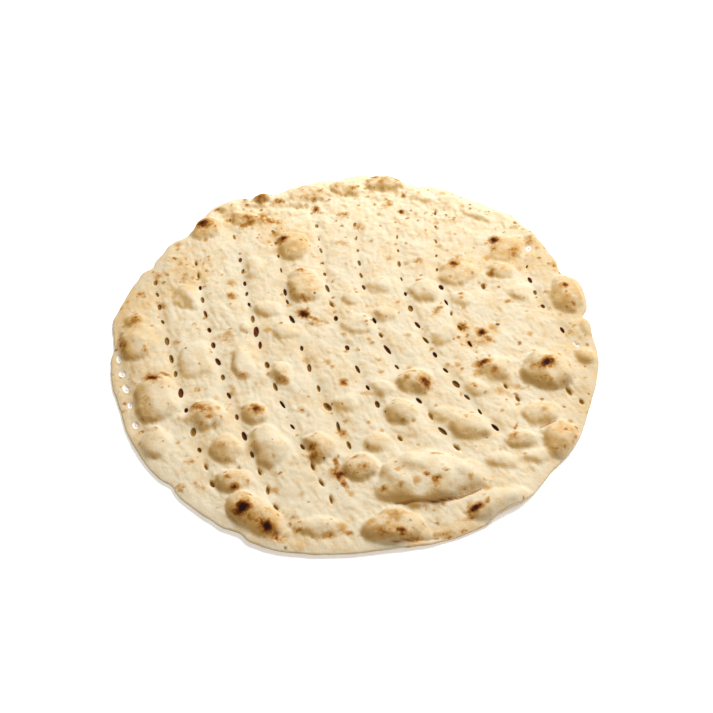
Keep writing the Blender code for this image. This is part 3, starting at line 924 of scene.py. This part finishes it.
# The crust's colours, the sizes of its patterns and its finish.
crust = {
    "flour": tone("D2C8AF"),
    "dough": tone("D0BC98"),
    "warm": tone("CCB084"),
    "far": tone("E6D7B6"),
    "ends": tone("BCA782"),
    "blister": tone("CCAE7C"),
    # painted shade: a darker golden for slopes that face away from the key light
    "paintedShade": tone("CEA65C"),
    "blush": tone("BE965A"),
    "golden": tone("CBAC76"),
    "gold": tone("B58A46"),
    "amber": tone("9C6724"),
    "brown": tone("5F300A"),
    "char": tone("240903"),
    # pin walls: partly browned dough, partly painted shade of the hole's depth
    "pinDark": tone("5E2E10"),
    "pinLight": tone("9A7636"),
    # painted light: the pale backdrop as if seen through the pins near the rim
    "rimPin": tone("E6E2DC"),
    "bakedBase": tone("C69C62"),
    "farStrength": 0.5,
    "endsStrength": 0.4,
    "blushStrength": 0.75,
    "streakStretch": (1.0, 0.34, 0.0),  # streaks are about three times as long as wide
    "freckleStray": 5.0 * mm,
    "freckleRagged": 0.9,
    "roughness": 0.82,
    "roughVaries": 0.12,
    "bumpDepth": 1.0 * mm,
    "bumpStrength": 0.85,
    "softDepth": 1.2 * mm,
}

# The crust's patterns: the size of each, how much detail, how rough, its seed, how bent.
patterns = {
    "broad": (42 * mm, 2.0, 0.5, 1.0),
    "patchy": (13 * mm, 3.0, 0.55, 2.0),
    "fine": (2.6 * mm, 4.0, 0.6, 3.0),
    "grain": (0.9 * mm, 2.0, 0.6, 4.0),
    "streaky": (5.0 * mm, 3.0, 0.6, 5.0, 1.2),
    "mottled": (8 * mm, 4.0, 0.62, 6.0),
    "contact": (16 * mm, 4.0, 0.6, 7.0),
    "pore": (3.2 * mm, 4.0, 0.62, 9.0),
    "torn": (5.0 * mm, 3.0, 0.55, 10.0, 1.0),
}

# Coats of colour, each laid over those before it: its colour, where its mask
# begins to show it and where it shows fully, and how strongly it covers.
coats = {
    "dough": ("dough", 0.42, 0.70, 1.0),
    "warm": ("warm", 0.46, 0.74, 0.55),
    "golden": ("golden", 0.54, 0.76, 0.64),
    "blister": ("blister", 0.1, 1.0, 0.4),
    # painted shade on slopes that face away from the key light
    "paintedShade": ("paintedShade", 0.04, 0.55, 0.68),
    "baseBaked": ("bakedBase", 0.40, 0.60, 1.0),
    "baseAmber": ("amber", 0.58, 0.72, 0.8),
    "baseBrown": ("brown", 0.70, 0.82, 0.8),
    "markGold": ("gold", 0.10, 0.34, 0.65),
    "markAmber": ("amber", 0.32, 0.52, 0.9),
    "markBrown": ("brown", 0.54, 0.70, 1.0),
    "markChar": ("char", 0.70, 0.88, 1.0),
    # the folds: partly browning, partly painted shade in the crease
    "foldAmber": ("amber", 0.25, 0.9, 0.8),
    "foldBrown": ("brown", 0.75, 1.0, 0.6),
    # pin walls, lighter in some pins; near the rim painted light as if seen through
    "pinLight": ("pinLight", 0.3, 0.9, 1.0),
    "rimPin": ("rimPin", 1.2, 1.8, 1.0),
}

# Freckles: the size of their cells, how many cells have one where the crust is
# pale and where it is golden, their greatest reach in a cell, strength and colour.
freckles = (
    (17 * mm, 0.50, 0.80, 0.36, 0.85, "gold"),
    (9 * mm, 0.36, 0.80, 0.38, 1.00, "gold"),
    (7 * mm, 0.08, 0.60, 0.38, 0.95, "amber"),
    (11 * mm, 0.10, 0.50, 0.30, 1.00, "amber"),
    (12 * mm, 0.02, 0.30, 0.27, 1.00, "brown"),
)


def makeCrust():
    material = bpy.data.materials.new("crust")
    material.use_nodes = True
    tree = material.node_tree
    tree.nodes.clear()
    make = Maker(tree)
    place = make.add("ShaderNodeTexCoord").outputs["Object"]

    def read(name):
        return make.add("ShaderNodeAttribute", {"attribute_name": name}).outputs

    def field(name):
        return Level(make, read(name)["Fac"])

    def pattern(name, where=place):
        return make.noise(where, *patterns[name])

    def coat(under, mask, name):
        colour, low, high, strength = coats[name]
        return make.blend(mask.step(low, high) * strength, under, crust[colour])

    above, heat, scorch, fold = field("above"), field("browned"), field("scorch"), field("fold")
    golden, far, pinTone = field("golden"), field("far"), field("pinTone")
    broad, patchy, mottled = pattern("broad"), pattern("patchy"), pattern("mottled")
    fine, grain = pattern("fine"), pattern("grain")
    drawn = make.vector("MULTIPLY", read("stretch")["Vector"], crust["streakStretch"])
    streaky = pattern("streaky", drawn[0])

    # the ground colour: pale and floury, warmer in broad patches
    warmth = broad * 0.4 + patchy * 0.35 + fine * 0.25 + streaky * 0.25 - 0.125
    ground = coat(crust["flour"], warmth, "dough")
    ground = coat(ground, patchy * 0.7 + fine * 0.5 + golden * 0.2 - 0.1, "warm")
    # paler and yellower behind, darker towards the left and right ends
    ground = make.blend(far * crust["farStrength"], ground, crust["far"])
    ground = make.blend(field("ends") * crust["endsStrength"], ground, crust["ends"])
    ground = coat(ground, mottled + golden * 0.21, "golden")

    # browner on the blisters, with painted shade on slopes that face away from the key light
    ground = coat(ground, heat, "blister")
    ground = coat(ground, field("paintedShade") + (fine - 0.5) * 0.12, "paintedShade")
    blush = (heat * 0.5 + mottled * 1.5 + fine * 0.5 - 1.16).step(0.10, 0.60)
    ground = make.blend(blush * heat.step(0.1, 0.7) * crust["blushStrength"], ground, crust["blush"])

    # freckles, each in a cell of its own
    astray = make.vector("SCALE", fine, crust["freckleStray"])
    near = make.vector("ADD", place, astray[0])
    baked = (golden * 0.9 + far * 0.5).most(heat * 0.9)
    for number, (gap, few, many, reach, strength, colour) in enumerate(freckles):
        moved = make.vector("ADD", near[0], (3.1 + 4.6 * number, 2.2 + number, 0.0))
        cells = make.cells(moved[0], 1 / gap)
        chances = make.add("ShaderNodeSeparateColor", None, {0: cells["Color"]}).outputs
        chance = baked * (many - few) + few
        chosen = (chance - Level(make, chances[0])).step(-0.02, 0.04)
        widest = Level(make, chances[1]) * (0.6 * reach) + 0.4 * reach
        spot = 1.0 - Level(make, cells["Distance"]) / widest
        spot = (spot + (fine - 0.5) * crust["freckleRagged"]).step(0.0, 0.8) * chosen
        ground = make.blend(spot * strength, ground, crust[colour])

    # the underside, browned where it met the oven
    contact = pattern("contact") + fine * 0.25 - 0.12
    base = coat(crust["dough"], contact, "baseBaked")
    base = coat(coat(base, contact, "baseAmber"), contact, "baseBrown")
    ground = make.blend((above + fine * 0.2 - 0.1).step(0.08, 0.35), base, ground)

    # marks, with ragged edges, and the lines of the folds, browned and darkened with painted shade
    edge = (pattern("torn") - 0.5) * 1.3 + (fine - 0.5) * 0.55 + (grain - 0.5) * 0.15
    ragged = scorch + edge * scorch.step(0.02, 0.40) * (1.25 - scorch)
    colour = ground
    for name in ("markGold", "markAmber", "markBrown", "markChar"):
        colour = coat(colour, ragged, name)
    colour = coat(coat(colour, fold, "foldAmber"), fold, "foldBrown")

    # dents and pin walls: dark, partly browned dough and partly painted shade; near the rim, painted light
    # as if seen through
    wall = coat(coat(crust["pinDark"], pinTone, "pinLight"), pinTone, "rimPin")
    colour = make.blend((field("hollow") + fine * 0.3 - 0.15).step(0.35, 0.85), colour, wall)

    # wrinkles along the stretch, pores and grain
    wrinkles = streaky * 0.25 * above * (1.0 - field("calm"))
    bump = make.add("ShaderNodeBump", None, {
        "Strength": crust["bumpStrength"], "Distance": crust["bumpDepth"],
        "Height": wrinkles + pattern("pore") * 0.65 + grain * 0.14,
    })
    shader = make.add("ShaderNodeBsdfPrincipled", None, {
        "Base Color": colour, "Normal": bump.outputs[0],
        "Roughness": (fine - 0.5) * crust["roughVaries"] + crust["roughness"],
        "Subsurface Weight": 0.1, "Subsurface Radius": (1.0, 0.6, 0.3),
        "Subsurface Scale": crust["softDepth"], "Specular IOR Level": 0.12,
    })
    make.add("ShaderNodeOutputMaterial", None, {"Surface": shader.outputs[0]})
    return material


crustMaterial = makeCrust()
print("crust ready")

# The skin's fine relief, made by nodes: each value is one of the tree's inputs.
skinRelief = {
    "Crease Depth": 0.45 * mm,
    "Crease Gap": 13 * mm,
    "Crease Length": 24 * mm,
    "Crease Width": 0.10,
    "Lump Height": 2.6 * mm,
    "Lump Size": 20 * mm,
    "Dimple Height": 1.5 * mm,
    "Dimple Size": 9 * mm,
    "Far Dimple Height": 3.4 * mm,
    "Pimple Height": 0.6 * mm,
    "Pimple Gap": 9.0 * mm,
    "Calm": 0.9,                      # how much of the creases a blister smooths away
    "Seed": 3.0,
    "Painted Shade Side": (-0.6, -0.8, 0.0),   # slopes that face this way, away from the key light, get painted shade
}


def reliefTree():
    tree = bpy.data.node_groups.new("skinRelief", "GeometryNodeTree")
    sockets = tree.interface
    sockets.new_socket("Geometry", in_out="INPUT", socket_type="NodeSocketGeometry")
    for name, value in skinRelief.items():
        kind = "NodeSocketVector" if isinstance(value, tuple) else "NodeSocketFloat"
        sockets.new_socket(name, in_out="INPUT", socket_type=kind)
    sockets.new_socket("Crust", in_out="INPUT", socket_type="NodeSocketMaterial")
    sockets.new_socket("Geometry", in_out="OUTPUT", socket_type="NodeSocketGeometry")
    make = Maker(tree)
    given = make.add("NodeGroupInput").outputs
    place = make.add("GeometryNodeInputPosition").outputs[0]
    normal = make.add("GeometryNodeInputNormal").outputs[0]

    def size(name):
        return Level(make, given[name])

    def named(name, kind="FLOAT"):
        node = make.add("GeometryNodeInputNamedAttribute", {"data_type": kind}, {"Name": name})
        return node.outputs["Attribute"]

    def scaled(name):
        return make.vector("SCALE", place, 1.0 / size(name))[0]

    # creases run along the stretch
    gaps = make.add("ShaderNodeCombineXYZ", None, {
        "X": 1.0 / size("Crease Gap"), "Y": 1.0 / size("Crease Length"), "Z": 1.5,
    })
    folded = make.vector("MULTIPLY", named("stretch", "FLOAT_VECTOR"), gaps.outputs[0])
    crease = make.noise(folded[0], 1.0, 2.0, 0.55, size("Seed"), 1.3) - 0.5
    crease = crease.most(0.0 - crease).step(0.0, size("Crease Width"), 1.0, 0.0)
    wrinkled = 1.0 - Level(make, named("calm")) * size("Calm")

    # lumps and dimples all over, pimples here and there
    lump = make.noise(scaled("Lump Size"), 1.0, 2.0, 0.5, size("Seed") + 4.0) - 0.5
    dimple = make.noise(scaled("Dimple Size"), 1.0, 2.0, 0.5, size("Seed") + 7.0) - 0.5
    cells = make.cells(scaled("Pimple Gap"), 1.0)
    chance = Level(make, make.add("ShaderNodeSeparateXYZ", None, {0: cells["Color"]}).outputs[0])
    pimple = Level(make, cells["Distance"]).step(0.10, 0.42, 1.0, 0.0) * chance.step(0.5, 0.9)
    rise = lump * size("Lump Height") + dimple * size("Dimple Height")
    rise = rise + dimple * size("Far Dimple Height") * Level(make, named("far"))
    rise = rise + pimple * size("Pimple Height") - crease * size("Crease Depth") * wrinkled

    grip = Level(make, named("grip"))
    shift = make.vector("SCALE", normal, rise * grip)
    moved = make.add("GeometryNodeSetPosition", None, {"Geometry": given["Geometry"], "Offset": shift[0]})
    # painted shade: how far each slope faces away from the key light, stored for the crust's colour
    facing = make.vector("DOT_PRODUCT", normal, given["Painted Shade Side"])
    stored = make.add("GeometryNodeStoreNamedAttribute", {"data_type": "FLOAT", "domain": "POINT"}, {
        "Geometry": moved.outputs[0], "Name": "paintedShade", "Value": Level(make, facing["Value"]) * grip,
    })
    real = make.add("GeometryNodeRealizeInstances", None, {"Geometry": stored.outputs[0]})
    painting = {"Geometry": real.outputs[0], "Material": given["Crust"]}
    painted = make.add("GeometryNodeSetMaterial", None, painting)
    make.add("NodeGroupOutput", None, {"Geometry": painted.outputs[0]})
    return tree


def applyRelief(piece):
    modifier = piece.modifiers.new("skinRelief", "NODES")
    modifier.node_group = reliefTree()
    for socket in modifier.node_group.interface.items_tree:
        if socket.name in skinRelief:
            modifier[socket.identifier] = skinRelief[socket.name]
        elif socket.name == "Crust":
            modifier[socket.identifier] = crustMaterial
    graph = bpy.context.evaluated_depsgraph_get()
    finished = bpy.data.meshes.new_from_object(piece.evaluated_get(graph), depsgraph=graph)
    piece.modifiers.remove(modifier)
    piece.data = finished
    finished.name = "bread"


applyRelief(bread)
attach(bread, "root")
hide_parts("taftoon")
print("relief done")

# The floor, the light and the camera.
studio = {
    "floorSize": 8.0,
    "floorGap": 0.15 * mm,
    "floorRoughness": 0.9,
    "floorColour": tone("F4F8FF"),
    "floorGlow": 0.38,
    "sky": 0.36,
    "skyColour": (1.0, 0.80, 0.50, 1.0),
    "keyPower": 50.5,
    "keyColour": (1.0, 1.02, 1.07),
    "keySize": 0.9,
    "keyPlace": (0.66, 1.0, 1.38),
    "elevation": 50.5,
    "distance": 0.7291,
    "aimShift": (3.1 * mm, -26.7 * mm),
    "aimHeight": 4.5 * mm,
    "lens": 45.44,
}


def makeFloor():
    half = studio["floorSize"] / 2
    level = cadLow.z - studio["floorGap"]
    mesh = bpy.data.meshes.new("floor")
    corners = [(-half, -half, level), (half, -half, level), (half, half, level), (-half, half, level)]
    mesh.from_pydata(corners, [], [(0, 1, 2, 3)])
    floor = bpy.data.objects.new("floor", mesh)
    bpy.context.scene.collection.objects.link(floor)
    material = bpy.data.materials.new("floor")
    material.use_nodes = True
    shader = material.node_tree.nodes["Principled BSDF"]
    shader.inputs["Base Color"].default_value = studio["floorColour"]
    shader.inputs["Roughness"].default_value = studio["floorRoughness"]
    shader.inputs["Emission Color"].default_value = studio["floorColour"]
    shader.inputs["Emission Strength"].default_value = studio["floorGlow"]
    mesh.materials.append(material)


def makeLight():
    world = bpy.data.worlds.new("studio")
    world.use_nodes = True
    world.node_tree.nodes.clear()
    make = Maker(world.node_tree)
    seen = make.add("ShaderNodeLightPath").outputs["Is Camera Ray"]
    sky = make.add("ShaderNodeBackground", None, {"Color": studio["skyColour"], "Strength": studio["sky"]})
    backdrop = make.add("ShaderNodeBackground", None, {"Color": studio["floorColour"], "Strength": 1.0})
    both = make.add("ShaderNodeMixShader", None, {0: seen, 1: sky.outputs[0], 2: backdrop.outputs[0]})
    make.add("ShaderNodeOutputWorld", None, {"Surface": both.outputs[0]})
    bpy.context.scene.world = world
    lamp = bpy.data.lights.new("key", "AREA")
    lamp.energy = studio["keyPower"]
    lamp.size = studio["keySize"]
    lamp.color = studio["keyColour"]
    key = bpy.data.objects.new("key", lamp)
    key.location = studio["keyPlace"]
    key.rotation_mode = "QUATERNION"
    key.rotation_quaternion = key.location.to_track_quat("Z", "Y")
    bpy.context.scene.collection.objects.link(key)


def makeCamera():
    lens = bpy.data.cameras.new("camera")
    lens.lens = studio["lens"]
    camera = bpy.data.objects.new("camera", lens)
    middle = (cadLow + cadHigh) / 2
    aim = Vector((middle.x + studio["aimShift"][0], middle.y + studio["aimShift"][1], studio["aimHeight"]))
    rise = math.radians(studio["elevation"])
    camera.location = aim + Vector((0, -math.cos(rise), math.sin(rise))) * studio["distance"]
    camera.rotation_euler = (math.pi / 2 - rise, 0, 0)
    bpy.context.scene.collection.objects.link(camera)
    bpy.context.scene.camera = camera


makeFloor()
makeLight()
makeCamera()
bpy.context.scene.view_settings.view_transform = "Standard"
print("studio ready")
